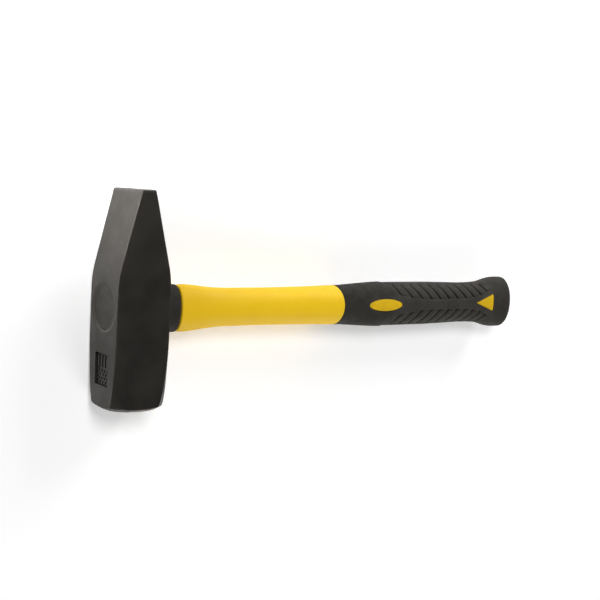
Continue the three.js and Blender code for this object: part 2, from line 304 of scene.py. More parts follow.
def weighted_normals(piece):
    """Large flat faces keep their own normals beside small rounded ones."""
    modifier = piece.modifiers.new("normals", "WEIGHTED_NORMAL")
    modifier.keep_sharp = True
    modifier.weight = 80
    apply_modifiers(piece)


def oval_ring(x, tall, wide, sides, power=2.0):
    """A rounded-oval section across the handle at x."""
    ring = []
    for s in range(sides):
        angle = 2 * math.pi * s / sides
        c, d = math.cos(angle), math.sin(angle)
        y = tall * math.copysign(abs(c) ** (2 / power), c)
        z = wide * math.copysign(abs(d) ** (2 / power), d)
        ring.append((x, y, AXIS_Z + z))
    return ring


def oval_rings(stations, sides, power=2.0):
    """Sections across the handle at stations of (x, half height, half thickness)."""
    return [oval_ring(x, tall, wide, sides, power) for x, tall, wide in stations]


def round_ring(x, radius, y, sides):
    """A circle across the handle at x, centred on (y, AXIS_Z)."""
    angles = [2 * math.pi * s / sides for s in range(sides)]
    return [(x, y + radius * math.cos(a), AXIS_Z + radius * math.sin(a)) for a in angles]


def round_edge(x, tall, wide, radius, outward, count=5):
    """Stations round the outer edge of a square end at x. outward is -1 at a front end, 1 at a back end."""
    stations = []
    for i in range(count + 1):
        angle = math.pi / 2 * i / count
        drop = radius * (1 - math.sin(angle))
        stations.append((x - outward * radius * (1 - math.cos(angle)), tall - drop, wide - drop))
    return stations if outward < 0 else stations[::-1]


def extruded(name, outline, low_z, high_z):
    """A prism with the given XY outline, between two heights."""
    count = len(outline)
    points = [(x, y, z) for z in (low_z, high_z) for x, y in outline]
    faces = [(i, (i + 1) % count, count + (i + 1) % count, count + i) for i in range(count)]
    faces += [tuple(range(count)), tuple(range(count, 2 * count))]
    return new_object(name, points, faces)


# ---------- Head ----------

def half_thickness(y):
    """Half the head's size along X at y: square body, rounded shoulder, wedge."""
    slope = math.atan2(HEAD_HALF - PEIN_HALF_THICKNESS, PEIN_Y - SHOULDER_Y)
    arc_start = SHOULDER_Y - SHOULDER_RADIUS * math.tan(slope / 2)
    arc_end = arc_start + SHOULDER_RADIUS * math.sin(slope)
    if y <= arc_start:
        return HEAD_HALF
    if y <= arc_end:
        return HEAD_HALF - SHOULDER_RADIUS + math.sqrt(SHOULDER_RADIUS ** 2 - (y - arc_start) ** 2)
    return PEIN_HALF_THICKNESS + (PEIN_Y - y) * math.tan(slope)


def half_width(y):
    """Half the head's size along Z at y: parallel body, pein spreading a little."""
    spread = max(0, (y - SHOULDER_Y) / (PEIN_Y - SHOULDER_Y))
    return HEAD_HALF + (PEIN_HALF_WIDTH - HEAD_HALF) * spread


def head_ring(y, scale=1.0):
    """A section across the head: four flats, and four corners that are rounded or cut back."""
    flat_columns, corner_columns = 16, 6
    hx, hz = half_thickness(y) * scale, half_width(y) * scale
    cut = min(corner_cut(y) * scale, 0.8 * hx)
    corner_pull = ROUND_CORNER + (CUT_CORNER - ROUND_CORNER) * ramp(cut, EDGE_RADIUS, STRAIGHT_CUT)
    ring = []
    for side_x, side_z, turn in ((1, 1, 0), (-1, 1, 1), (-1, -1, 0), (1, -1, 1)):
        ends = [Vector((side_x * hx, side_z * (hz - cut))), Vector((side_x * (hx - cut), side_z * hz))]
        if turn:
            ends.reverse()
        corner = Vector((side_x * hx, side_z * hz))
        pull = corner * corner_pull + (ends[0] + ends[1]) / 2 * (1 - corner_pull)
        for i in range(corner_columns + 1):
            ring.append(bend(ends[0], pull, ends[1], i / corner_columns))
        across = (side_x * hx, -side_z * (hz - cut)) if turn else (-side_x * (hx - cut), side_z * hz)
        for i in range(1, flat_columns):
            ring.append(ends[1].lerp(Vector(across), i / flat_columns))
    return [Vector((p.x, y, AXIS_Z + p.y)) for p in ring]


def struck_spread(point):
    """How far a point is from the face's middle, measured so that equal distances make a rounded square."""
    x, z = abs(point.x), abs(point.z - AXIS_Z)
    return (x ** CHAMFER_POWER + z ** CHAMFER_POWER) ** (1 / CHAMFER_POWER)


def struck_height(point):
    """The ground end under a point: a slightly crowned face with a chamfer round it."""
    spread = struck_spread(point)
    width, height = CHAMFER
    inner = HEAD_HALF - width
    crown = FACE_CROWN * (min(spread / inner, 1) ** 2 - 1)
    past = (spread - inner + math.sqrt((spread - inner) ** 2 + CHAMFER_BLEND ** 2)) / 2
    return FACE_Y - FACE_DROP + crown + past * height / width


def forge_marks(piece):
    """Makes the flats slightly uneven, as a forging's are."""
    for v in piece.data.vertices:
        p = v.co / MM
        swell = sum(noise.noise(p * waves + shift) * height for waves, height, shift in FORGE_SWELLS)
        clear_of_ends = ramp(p.y, FACE_Y + 2.5, FACE_Y + 5) * ramp(p.y, PEIN_Y, PEIN_Y - 3)
        v.co += v.normal * swell * clear_of_ends * MM


def lathe_cutter(name, profile, y, sides=128):
    """A cutter turned about a line along X through (y, AXIS_Z). The profile is (x, radius) points."""
    return loft(name, [round_ring(x, radius, y, sides) for x, radius in profile])


def dish_depth(radius):
    """Depth of the shallow bowl in the head's front, which the resin's cap carries on across the middle."""
    inward = min(max((DISH_RADIUS + DISH_LIP - radius) / DISH_SLOPE, 0), 1)
    return DISH_BOWL * (1 - (1 - inward) ** 2)


def eye_stations(clearance):
    """Sections through the eye, or through what fills it with a clearance."""
    tall = smooth_curve([(x, t) for x, t, _ in EYE])
    wide = smooth_curve([(x, w) for x, _, w in EYE])
    return [(x, tall(x) - clearance, wide(x) - clearance) for x in steps(-HEAD_HALF, HEAD_HALF, 3)]


def stamp_panel():
    """Cutter for the recessed panel, which leaves plain bars and staggered blocks standing in it."""
    tool = drafted_box("stamp_tool", STAMP_CENTRE, *STAMP_SIZE, STAMP_DEPTH, draft=0.2)
    raised = [(BAR_Y, z, BAR_SIZE) for z in BAR_PLACES]
    for row, y in enumerate(BLOCK_ROWS):
        raised += [(y, z + (row % 2) * BLOCK_STAGGER, BLOCK_SIZE) for z in BLOCK_PLACES]
    for y, z, size in raised:
        block = drafted_block(STAMP_CENTRE + Vector((0, y, z)), *size, STAMP_BLOCK_DROP)
        boolean(tool, block, "DIFFERENCE")
    return tool


def drafted_box(name, centre, length, width, depth, draft):
    """A box that starts outside the head's front face and narrows towards its floor, along +X."""
    rings = []
    for x, grow in ((-3, draft), (-0.02, draft), (0.25, 0), (depth, -draft)):
        rings.append(rectangle_ring(centre, x, length / 2 + grow, width / 2 + grow, 0.9 + grow))
    return loft(name, rings)


def drafted_block(centre, length, width, drop):
    """A block that stands up from the panel's floor to `drop` below the face."""
    rings = []
    for x, shrink in ((drop, 0.25), (drop + 0.2, 0.1), (STAMP_DEPTH + 1, -0.1)):
        rings.append(rectangle_ring(centre, x, length / 2 - shrink, width / 2 - shrink, 0.3))
    return loft("block", rings)


def rectangle_ring(centre, x, half_y, half_z, radius, count=4):
    """A rectangle with rounded corners, across the X axis and x beyond its centre."""
    ring = []
    for quarter, (sy, sz) in enumerate(((1, 1), (-1, 1), (-1, -1), (1, -1))):
        for i in range(count + 1):
            angle = math.pi / 2 * (quarter + i / count)
            y = sy * (half_y - radius) + radius * math.cos(angle)
            z = sz * (half_z - radius) + radius * math.sin(angle)
            ring.append((centre.x + x, centre.y + y, centre.z + z))
    return ring


def build_head():
    """The forging, lofted from the struck face up to the pein, then cut by its eye, dish and panel."""
    lowest = FACE_Y + CHAMFER[1] + 3  # where the plain sections begin
    face_outline = FACE_Y + 0.7  # the face's rings are scaled copies of the section here
    rings = []
    for scale in (0.08, 0.25, 0.45, 0.62, 0.74, 0.82, 0.86, 0.9, 0.94, 0.97, 0.99, 1):
        ring = head_ring(face_outline, scale)
        rings.append([Vector((p.x, struck_height(p), p.z)) for p in ring])
    edge = rings[-1]
    for share in (0.05, 0.3, 0.6):
        rings.append([p.lerp(q, share) for p, q in zip(edge, head_ring(lowest))])
    rings += [head_ring(y) for y in steps(lowest, PEIN_Y - PEIN_ROUNDING - 0.2, 1.6)]
    for i in range(7):
        angle = math.pi / 2 * i / 6
        y = PEIN_Y - PEIN_ROUNDING * (1 - math.sin(angle))
        rings.append(head_ring(y, 1 - PEIN_ROUNDING * (1 - math.cos(angle)) / PEIN_HALF_THICKNESS))
    rings += [head_ring(PEIN_Y, s) for s in (0.8, 0.5, 0.2)]
    head = loft("forged_head", rings)
    forge_marks(head)
    eye = eye_stations(0)
    beyond = 5  # how far the eye's cutter stands out at each end
    through = [(eye[0][0] - beyond, *eye[0][1:]), *eye, (eye[-1][0] + beyond, *eye[-1][1:])]
    boolean(head, loft("eye_tool", oval_rings(through, 64)), "DIFFERENCE")
    mouth, bottom = DISH_RADIUS + DISH_LIP, CAP_RADIUS + CAP_GAP
    profile = [(-3, mouth + 0.6), (-0.1, mouth + 0.6), (0, mouth + 0.15)]
    profile += [(dish_depth(r), r) for r in steps(mouth - 0.15, bottom, 0.25)]
    profile.append((DISH_DEPTH, bottom))
    profile = [(depth - HEAD_HALF, r) for depth, r in profile]
    boolean(head, lathe_cutter("dish_tool", profile, DISH_Y), "DIFFERENCE")
    boolean(head, stamp_panel(), "DIFFERENCE")
    tidy_mesh(head, crease=28)
    weighted_normals(head)
    points = [v.co / MM for v in head.data.vertices]
    store(head, "bare", [bareness(p) for p in points])
    # The edge numbers hold worn paint and the painted highlight on the dish's rim.
    store(head, "edge", [wear_and_rim_highlight(p) for p in points])
    return head


def bareness(p):
    """1 on the bare striking face, and less on the chamfer, which keeps thin paint, most at the front."""
    inner = HEAD_HALF - CHAMFER[0]
    face = 1 - ramp(struck_spread(p), inner - 0.6, inner + 0.6)
    chamfer = CHAMFER_WEAR * ramp(p.x, *PAINT_END)
    return max(face, chamfer) * (1 - ramp(p.y - struck_height(p), 0.15, 0.4))


def wear_and_rim_highlight(p):
    """How much a place is paler: worn fully at the pein's tip and lightly along the outer edges, with the
    painted highlight on the dish's rim.
    """
    tip = ramp(p.y, PEIN_Y - 2 * PEIN_ROUNDING, PEIN_Y - PEIN_ROUNDING / 2)
    inset = max(half_thickness(p.y) - abs(p.x), half_width(p.y) - abs(p.z - AXIS_Z))
    outer = EDGE_RUB * (1 - ramp(inset, EDGE_RADIUS * 0.8, EDGE_RADIUS * 2))
    return max(tip, outer, painted_rim_highlight(p))


def painted_rim_highlight(p):
    """The painted highlight on the dish's rim: most towards the striking face and the upper side."""
    off = Vector((p.y - DISH_Y, p.z - AXIS_Z))
    mouth = DISH_RADIUS + DISH_LIP
    if p.x > 0 or not CAP_RADIUS < off.length < mouth:
        return 0
    towards = off.normalized().dot(RIM_HIGHLIGHT_SIDE.normalized())
    return RIM_HIGHLIGHT * ramp(off.length, mouth, mouth - 0.5) * ramp(towards, -0.5, 0.4)


def build_resin():
    """Cast resin: a round cap with a sunken middle, and a plug that fills the eye round the rod."""
    sides = 96
    back = HEAD_HALF
    cap_back = RESIN_LOW.x + CAP_THICKNESS
    socket = [(CORE_LOW.x - FIT_GAP, CORE_TALL + SEAM, CORE_WIDE + SEAM),
              (back, CORE_TALL + SEAM, CORE_WIDE + SEAM)]
    plug = [s for s in eye_stations(FIT_GAP)[::-1] if s[0] > cap_back]
    rings = oval_rings(socket, sides) + oval_rings(plug, sides)
    rings.append(oval_ring(cap_back, plug[-1][1], plug[-1][2], sides))
    cap_front = [(cap_back, CAP_RADIUS), (dish_depth(CAP_RADIUS) + CAP_BREAK - HEAD_HALF, CAP_RADIUS)]
    cap_front += [(dish_depth(r) - HEAD_HALF, r) for r in steps(CAP_RADIUS - 0.1, 1, 0.8)]
    rings += [round_ring(x, radius, DISH_Y, sides) for x, radius in cap_front]
    return loft("cast_resin", rings)


# ---------- Handle ----------

def build_sleeve():
    """Short sleeve round the rod, with a thin flange against the head."""
    bore = (CORE_TALL + SEAM, CORE_WIDE + SEAM)
    front, back = HEAD_HALF + 0.05, SLEEVE_HIGH.x - 0.2
    tall, wide = SLEEVE_TALL, SLEEVE_WIDE
    flange, flange_end, foot_end = SLEEVE_FLANGE
    outside = round_edge(front, tall + flange, wide + flange, 0.4, -1)
    outside += [(front + flange_end, tall + flange, wide + flange)]
    outside += [(front + foot_end, tall + 0.05, wide + 0.05)]
    outside += [(x, tall, wide) for x in steps(front + 4, back - 2, 2)]
    outside += round_edge(back, tall, wide, 1.3, 1)
    inside = [(back, *bore), (front, *bore)]
    return loft("neck_ring", oval_rings(outside + inside, 96, SECTION_POWER), loop=True)


def surface_height(x, y):
    """Half thickness of the plain grip at a place seen from the side."""
    share = min(abs(y) / grip_tall(x), 0.999)
    return grip_wide(x) * (1 - share ** SECTION_POWER) ** (1 / SECTION_POWER)


def oval_outline(grow, count=96):
    """The oval mark's outline, grown by a gap."""
    centre, length, height = OVAL
    length, height = length + grow, height + grow
    angles = [2 * math.pi * i / count for i in range(count)]
    return [(centre + length * math.cos(a), MARK_RISE + height * math.sin(a)) for a in angles]


def triangle_outline(grow, per_corner=8, per_side=12):
    """The triangular mark's outline, grown by a gap. It points at the head, and its corners are rounded."""
    apex, base, height = TRIANGLE
    corners = [Vector((x, MARK_RISE + y)) for x, y in ((apex, 0), (base, -height), (base, height))]
    middle = sum(corners, Vector((0, 0))) / 3
    scale = 1 + grow / (base - middle.x)
    corners = [middle + (c - middle) * scale for c in corners]
    outline = []
    for i, corner in enumerate(corners):
        before, after = corners[i - 1], corners[(i + 1) % 3]
        arrive = corner + (before - corner).normalized() * 2 * TRIANGLE_ROUNDING
        leave = corner + (after - corner).normalized() * 2 * TRIANGLE_ROUNDING
        for k in range(per_corner + 1):
            outline.append(bend(arrive, corner, leave, k / per_corner))
        stop = after + (corner - after).normalized() * 2 * TRIANGLE_ROUNDING
        for k in range(1, per_side):
            outline.append(leave.lerp(stop, k / per_side))
    return [tuple(p) for p in outline]


MARKS = {"oval": oval_outline, "triangle": triangle_outline}


def sweep_front(piece):
    """Bows the grip's front edge, and the jacket's end that meets it, forwards at top and bottom."""
    for v in piece.data.vertices:
        near = 1 - ramp(abs(v.co.x / MM - GRIP_FRONT), 1.5, 20)
        v.co.x -= GRIP_FRONT_SWEEP * (v.co.y / (grip_tall(GRIP_FRONT) * MM)) ** 2 * near * MM


def build_mark(name, outline, side):
    """A raised boss of the jacket. Its top follows the grip's surface, and its foot is in the jacket."""
    middle = sum((Vector(p) for p in outline), Vector((0, 0))) / len(outline)
    size = min((Vector(p) - middle).length for p in outline)
    rings = []
    for share in (0.06, 0.25, 0.5, 0.72, 0.86):
        rings.append([(share, 0.0, p) for p in outline])
    for i in range(6):
        angle = math.pi / 2 * i / 5
        share = 1 - MARK_ROUNDING * (1 - math.sin(angle)) / size
        rings.append([(share, MARK_ROUNDING * (1 - math.cos(angle)), p) for p in outline])
    placed = []
    for ring in rings:
        row = []
        for share, drop, p in ring:
            x, y = middle + (Vector(p) - middle) * share
            row.append((x, y, AXIS_Z + side * (surface_height(x, y) + MARK_PROUD - drop)))
        placed.append(row)
    foot = GRIP_WALL[1] + 1.5
    placed.append([(x, y, AXIS_Z + side * (surface_height(x, y) - foot)) for x, y in outline])
    return loft(name, placed)


def under_grip_stations(clearance):
    """Sections of the jacket under the grip, or of the room for it with a clearance."""
    xs = steps(GRIP_FRONT - 0.6, JACKET_HIGH.x + clearance, 4)
    return [(x, grip_tall(x) - GRIP_WALL[0] + clearance, grip_wide(x) - GRIP_WALL[1] + clearance) for x in xs]


def build_jacket():
    """Yellow moulding with a bore for the rod, a stretch under the grip, and the four bosses."""
    sides = 128
    front, back = JACKET_LOW.x, GRIP_FRONT - SEAM
    bore = (CORE_TALL + SEAM, CORE_WIDE + SEAM)
    bore_rings = oval_rings([(x, *bore) for x in steps(CORE_HIGH.x + SEAM, front, 20)], sides)
    outside = round_edge(front, jacket_tall(front), jacket_wide(front), 0.9, -1)
    outside += [(x, jacket_tall(x), jacket_wide(x)) for x in steps(front + 1.2, back - 1, 1.5)]
    outside += round_edge(back, jacket_tall(back), jacket_wide(back), 0.45, 1)
    hidden = under_grip_stations(0)
    body = oval_rings(outside + hidden, sides, SECTION_POWER)
    jacket = loft("yellow_jacket", bore_rings + body)
    sweep_front(jacket)
    for name, outline in MARKS.items():
        for side in (1, -1):
            boolean(jacket, build_mark(f"{name}_boss", outline(0), side), "UNION")
    tidy_mesh(jacket, crease=50)
    xs = [v.co.x / MM for v in jacket.data.vertices]
    store(jacket, "boss", [ramp(x, GRIP_FRONT + 4, GRIP_FRONT + 8) for x in xs])
    return jacket


def mark_distance(x, y):
    """Roughly how far a place is outside the nearest yellow mark. It is negative inside one."""
    centre, length, height = OVAL
    y -= MARK_RISE
    spread = math.hypot((x - centre) / length, y / height)
    gradient = math.hypot((x - centre) / length ** 2, y / height ** 2) / max(spread, 1e-6)
    oval = (spread - 1) / max(gradient, 1e-6)
    apex, base, half = TRIANGLE
    slope = math.atan2(half, base - apex)
    triangle = max(x - base, abs(y) * math.cos(slope) - (x - apex) * math.sin(slope))
    return min(oval, triangle)


def groove_at(u):
    """How much of a groove's full depth there is at u along the spine: 1 in a groove's middle."""
    nearest = round((u - FIRST_GROOVE) / GROOVE_PITCH)
    if not 0 <= nearest < GROOVES:
        return 0.0
    away = abs(u - FIRST_GROOVE - nearest * GROOVE_PITCH) / GROOVE_HALF_WIDTH
    return 1 - ramp(away, GROOVE_FLOOR, 1)


def grip_relief(u, x, y):
    """Height of the moulded pattern above the plain grip, and the painted shade there: in a groove, and along
    the spine's foot.
    """
    off, edge = abs(y), spine_edge(x)
    step_foot = edge + SPINE_STEP
    flank = ramp(off, edge - 0.1, step_foot) * (1 - ramp(off, FLANK_OUTER - FLANK_FADE, FLANK_OUTER))
    flank *= ramp(x, *PATTERN_START) * (1 - ramp(x, *PATTERN_STOP))
    depth = GROOVE_DEPTH * (1 - GROOVE_FADE * ramp(off, 5, FLANK_OUTER))
    groove = groove_at(u) * flank
    rim = MARK_RIM * (1 - ramp(mark_distance(x, y), *MARK_RIM_FADE))
    rib = RIB_CROWN * math.cos(2 * math.pi * (u - FIRST_GROOVE) / GROOVE_PITCH + math.pi) * flank
    # Painted shadow along the foot of the step down from the spine.
    shade = FOOT_SHADE * flank * (1 - ramp(off, step_foot, edge + 1.7))
    return rim + rib - FLANK_DROP * flank - depth * groove, max(groove, shade)


def grip_ring(u, columns, painted_shades):
    """A section of the grip. In the grooved stretch it leans back, so that the grooves run along it."""
    sweep = ramp(u, *SLANT_ON) * (1 - ramp(u, *SLANT_OFF))
    ring = []
    for s in range(columns):
        angle = 2 * math.pi * s / columns
        c, d = math.cos(angle), math.sin(angle)
        share_y = math.copysign(abs(c) ** (2 / SECTION_POWER), c)
        share_z = math.copysign(abs(d) ** (2 / SECTION_POWER), d)
        away = max(0.0, abs(grip_tall(u) * share_y) - SLANT_START)
        x = u - GROOVE_SLANT * away * sweep
        tall, wide = grip_tall(x), grip_wide(x)
        y, z = tall * share_y, wide * share_z
        height, shade = grip_relief(u, x, y)
        normal = Vector((0, share_y * abs(share_y) ** (SECTION_POWER - 2) / tall,
                         share_z * abs(share_z) ** (SECTION_POWER - 2) / wide)).normalized()
        ring.append(Vector((x, y, AXIS_Z + z)) + normal * height)
        painted_shades.append(shade)
    return ring


def grip_places():
    """Places along the spine for the grip's sections: close together across each groove."""
    places = steps(GRIP_FRONT + 1, FIRST_GROOVE - 2.4, 1.0)
    across = [*(-t for t in reversed(GROOVE_STEPS)), 0, *GROOVE_STEPS]
    for i in range(GROOVES):
        middle = FIRST_GROOVE + GROOVE_PITCH * i
        places += [middle + GROOVE_HALF_WIDTH * t for t in across]
        if i < GROOVES - 1:
            places += steps(middle + 2.1, middle + GROOVE_PITCH - 2.1, 1.2)
    places += steps(places[-1] + 0.9, BULB_X, 1.0)
    return places


def build_grip():
    """Black rubber over the jacket, with a front lip, a patterned outside, a bulb and the marks' windows."""
    columns = 176
    painted_shades = []
    inside = under_grip_stations(SEAM)[::-1]
    inner = oval_rings(inside, columns, SECTION_POWER)
    front = GRIP_FRONT
    lip = round_edge(front, grip_tall(front), grip_wide(front), 0.4, -1)
    lip_rings = oval_rings(lip, columns, SECTION_POWER)
    painted_shades += [0.0] * (columns * (len(inner) + len(lip_rings)))
    outer = [grip_ring(u, columns, painted_shades) for u in grip_places()]
    bulb = []
    length = GRIP_HIGH.x - BULB_X
    for i in range(1, BULB_RINGS + 1):
        angle = math.pi / 2 * i / (BULB_RINGS + 0.5)
        reach, size = math.sin(angle) ** BULB_POWER, math.cos(angle) ** BULB_POWER
        bulb.append((BULB_X + length * reach, grip_tall(BULB_X) * size, grip_wide(BULB_X) * size))
    bulb_rings = oval_rings(bulb, columns, SECTION_POWER)
    painted_shades += [0.0] * (columns * len(bulb_rings) + 2)
    grip = loft("rubber_grip", inner + lip_rings + outer + bulb_rings)
    # These numbers are painted shade: in the grooves, and along the spine's foot.
    store(grip, "groove", painted_shades[:len(grip.data.vertices)])
    sweep_front(grip)
    for name, outline in MARKS.items():
        window = extruded(f"{name}_tool", outline(MARK_GAP), AXIS_Z - 40, AXIS_Z + 40)
        boolean(grip, window, "DIFFERENCE")
    tidy_mesh(grip, crease=50)
    xs = [v.co.x / MM for v in grip.data.vertices]
    store(grip, "paler_stretch", [ramp(x, *PALER_START) * (1 - PALER_LOSS * ramp(x, *PALER_STOP)) for x in xs])
    return grip


# ---------- Materials ----------

def smooth_rise(tree, value, limits):
    """A node that turns a value between the first two limits into one between the last two."""
    node = tree.nodes.new("ShaderNodeMapRange")
    node.interpolation_type = "SMOOTHSTEP"
    for socket, number in zip(("From Min", "From Max", "To Min", "To Max"), limits):
        node.inputs[socket].default_value = number
    tree.links.new(value, node.inputs["Value"])
    return node.outputs["Result"]


class Shader:
    """A node material under construction."""

    def __init__(self, name, **sockets):
        self.material = bpy.data.materials.new(name)
        self.material.use_nodes = True
        self.tree = self.material.node_tree
        self.surface = self.tree.nodes["Principled BSDF"]
        for socket, value in sockets.items():
            self.surface.inputs[socket.replace("_", " ")].default_value = value
        self.place = self.tree.nodes.new("ShaderNodeTexCoord").outputs["Object"]

    def link(self, value, socket):
        """Feeds a socket from a node's output or with a plain value."""
        if hasattr(value, "is_output"):
            self.tree.links.new(value, socket)
        else:
            socket.default_value = value

    def noise(self, scale, detail=3.0, roughness=0.55, stretch=None):
        """Noise over the object. scale is in features per metre."""
        node = self.tree.nodes.new("ShaderNodeTexNoise")
        node.inputs["Scale"].default_value = scale
        node.inputs["Detail"].default_value = detail
        node.inputs["Roughness"].default_value = roughness
        place = self.place
        if stretch:
            mapping = self.tree.nodes.new("ShaderNodeMapping")
            mapping.inputs["Scale"].default_value = stretch
            self.tree.links.new(place, mapping.inputs["Vector"])
            place = mapping.outputs["Vector"]
        self.tree.links.new(place, node.inputs["Vector"])
        return node.outputs["Fac"]

    def remap(self, value, *limits):
        """A smooth rise. The limits are where it starts and stops, and its value at the start and stop."""
        return smooth_rise(self.tree, value, limits)

    def math(self, operation, a, b):
        """Two values combined into one."""
        node = self.tree.nodes.new("ShaderNodeMath")
        node.operation = operation
        self.link(a, node.inputs[0])
        self.link(b, node.inputs[1])
        return node.outputs[0]

    def mix(self, share, a, b):
        """A colour between a and b."""
        node = self.tree.nodes.new("ShaderNodeMix")
        node.data_type = "RGBA"
        self.link(share, node.inputs["Factor"])
        self.link(a, node.inputs["A"])
        self.link(b, node.inputs["B"])
        return node.outputs["Result"]

    def attribute(self, name):
        """The numbers that store() kept under a name."""
        node = self.tree.nodes.new("ShaderNodeAttribute")
        node.attribute_name = name
        return node.outputs["Fac"]

    def bump(self, height, strength, distance, normal=None):
        """Fine relief, over another bump's where one is given. distance is in metres."""
        node = self.tree.nodes.new("ShaderNodeBump")
        node.inputs["Strength"].default_value = strength
        node.inputs["Distance"].default_value = distance
        self.tree.links.new(height, node.inputs["Height"])
        if normal is not None:
            self.tree.links.new(normal, node.inputs["Normal"])
        return node.outputs["Normal"]

    def set(self, socket, value):
        """Feeds one of the surface's own sockets."""
        self.link(value, self.surface.inputs[socket])


def rgb(r, g, b):
    """An opaque colour, in linear light."""
    return (r, g, b, 1.0)


def coating(name, tone=1.0):
    """Thin satin black-grey coating over forged steel."""
    shader = Shader(name, Roughness=0.5, Specular_IOR_Level=0.41, Specular_Tint=rgb(1, 0.885, 0.775))
    dark = rgb(0.0128 * tone, 0.0123 * tone, 0.0109 * tone)
    light = rgb(0.0155 * tone, 0.0149 * tone, 0.0134 * tone)
    cloud = shader.noise(45, 4)
    speck = shader.noise(900, 2)
    colour = shader.mix(shader.remap(cloud, 0.35, 0.65, 0, 1), dark, light)
    return shader, shader.mix(shader.remap(speck, 0.62, 0.72, 0, 0.35), colour, rgb(0.034, 0.033, 0.031))


def coating_bump(shader):
    """Fine grain over faint waves."""
    grain = shader.bump(shader.noise(1100, 3), 0.18, 0.0002)
    return shader.bump(shader.noise(160, 3), 0.09, 0.0006, grain)


def head_material():
    """Coated forging, ground bare at the striking face, worn along its edges, and with a painted highlight on
    the dish's rim.
    """
    shader, coat = coating("forged_coating")
    fray = shader.remap(shader.noise(500, 3), 0.3, 0.7, -0.1, 0.1)
    bare = shader.remap(shader.math("ADD", shader.attribute("bare"), fray), 0.1, 0.9, 0, 1)
    patchiness = shader.remap(shader.noise(220, 4), 0.3, 0.65, 0.25, 0.8)
    wear_and_highlight = shader.math("MULTIPLY", shader.attribute("edge"), patchiness)
    # Worn paint, and the painted highlight on the dish's rim, turn a paler grey.
    coat = shader.mix(wear_and_highlight, coat, rgb(0.085, 0.083, 0.079))
    ground = shader.noise(2500, 2, 0.5, (1, 1, 0.05))
    scratches = shader.remap(ground, 0.3, 0.7, 0, 1)
    steel = shader.mix(scratches, rgb(0.20, 0.195, 0.185), rgb(0.34, 0.33, 0.315))
    shader.set("Base Color", shader.mix(bare, coat, steel))
    shader.set("Metallic", bare)
    coat_roughness = shader.remap(shader.noise(70, 4), 0.3, 0.7, 0.42, 0.56)
    shader.set("Roughness", shader.math("ADD", coat_roughness, shader.math("MULTIPLY", bare, -0.12)))
    shader.set("Normal", coating_bump(shader))
    return shader.material


def resin_material():
    """The head's coating on the resin's cap, a touch lighter and rougher."""
    shader, coat = coating("coated_resin", 1.1)
    shader.set("Base Color", coat)
    shader.set("Roughness", shader.remap(shader.noise(120, 4), 0.3, 0.7, 0.48, 0.62))
    shader.set("Normal", coating_bump(shader))
    return shader.material


def jacket_material():
    """Moulded yellow plastic with a fine satin texture, a little darker in patches on the marks in the grip."""
    shader = Shader("yellow_plastic", Roughness=0.55, Specular_IOR_Level=0.3)
    cloud = shader.remap(shader.noise(30, 3), 0.35, 0.65, 0, 1)
    plain_yellow = shader.mix(cloud, rgb(0.93, 0.578, 0.007), rgb(0.955, 0.604, 0.010))
    # Darker in patches from just past the grip's front edge on, which shows on the marks.
    patches = shader.remap(shader.noise(250, 4), 0.3, 0.7, 0.7, 1)
    darker_marks = shader.math("MULTIPLY", shader.attribute("boss"), patches)
    shader.set("Base Color", shader.mix(darker_marks, plain_yellow, rgb(0.72, 0.45, 0.007)))
    shader.set("Roughness", shader.remap(shader.noise(90, 4), 0.3, 0.7, 0.5, 0.62))
    peel = shader.bump(shader.noise(700, 2), 0.08, 0.0002)
    shader.set("Normal", shader.bump(shader.noise(3200, 1), 0.10, 0.00008, peel))
    return shader.material


def rubber_material(name, dark, light):
    """Matt rubber with the grain of an eroded mould, with painted shade in its grooves and along the spine's
    foot, and paler along the patterned stretch.
    """
    shader = Shader(name, Roughness=0.8, Specular_IOR_Level=0.35, Specular_Tint=rgb(1, 0.93, 0.84))
    cloud = shader.math("MULTIPLY", shader.remap(shader.noise(60, 4), 0.35, 0.65, 0, 1), 0.3)
    paler_stretch = shader.math("MULTIPLY", shader.attribute("paler_stretch"), 0.7)
    colour = shader.mix(shader.math("ADD", cloud, paler_stretch), dark, light)
    # Painted shade: darker in the grooves and along the spine's foot.
    depth = shader.math("MULTIPLY", shader.attribute("groove"), 0.9)
    shader.set("Base Color", shader.mix(depth, colour, rgb(0.005, 0.0045, 0.004)))
    shader.set("Roughness", shader.remap(shader.noise(200, 3), 0.3, 0.7, 0.7, 0.85))
    grain = shader.bump(shader.noise(2600, 3, 0.65), 0.35, 0.00012)
    shader.set("Normal", shader.bump(shader.noise(350, 2), 0.12, 0.0004, grain))
    return shader.material


def core_material():
    """Glass fibres along the rod, set in clear resin."""
    shader = Shader("glass_fibre", Roughness=0.4)
    fibres = shader.noise(1500, 2, 0.5, (0.02, 1, 1))
    shader.set("Base Color", shader.mix(fibres, rgb(0.55, 0.50, 0.33), rgb(0.74, 0.70, 0.54)))
    shader.set("Normal", shader.bump(fibres, 0.2, 0.0001))
    return shader.material


def floor_material():
    """Pale and matt, and lit a little from below, more so at a distance."""
    shader = Shader("pale_floor", Roughness=0.9, Specular_IOR_Level=0.2)
    shade = shader.mix(shader.noise(8, 3), rgb(0.90, 0.90, 0.90), rgb(0.93, 0.93, 0.93))
    shader.set("Base Color", shade)
    shader.set("Emission Color", shade)
    away = shader.tree.nodes.new("ShaderNodeVectorMath")
    away.operation = "LENGTH"
    shader.link(shader.place, away.inputs[0])
    shader.set("Emission Strength", shader.remap(away.outputs["Value"], *FLOOR_GLOW_REACH, *FLOOR_GLOW))
    return shader.material


# ---------- Studio ----------

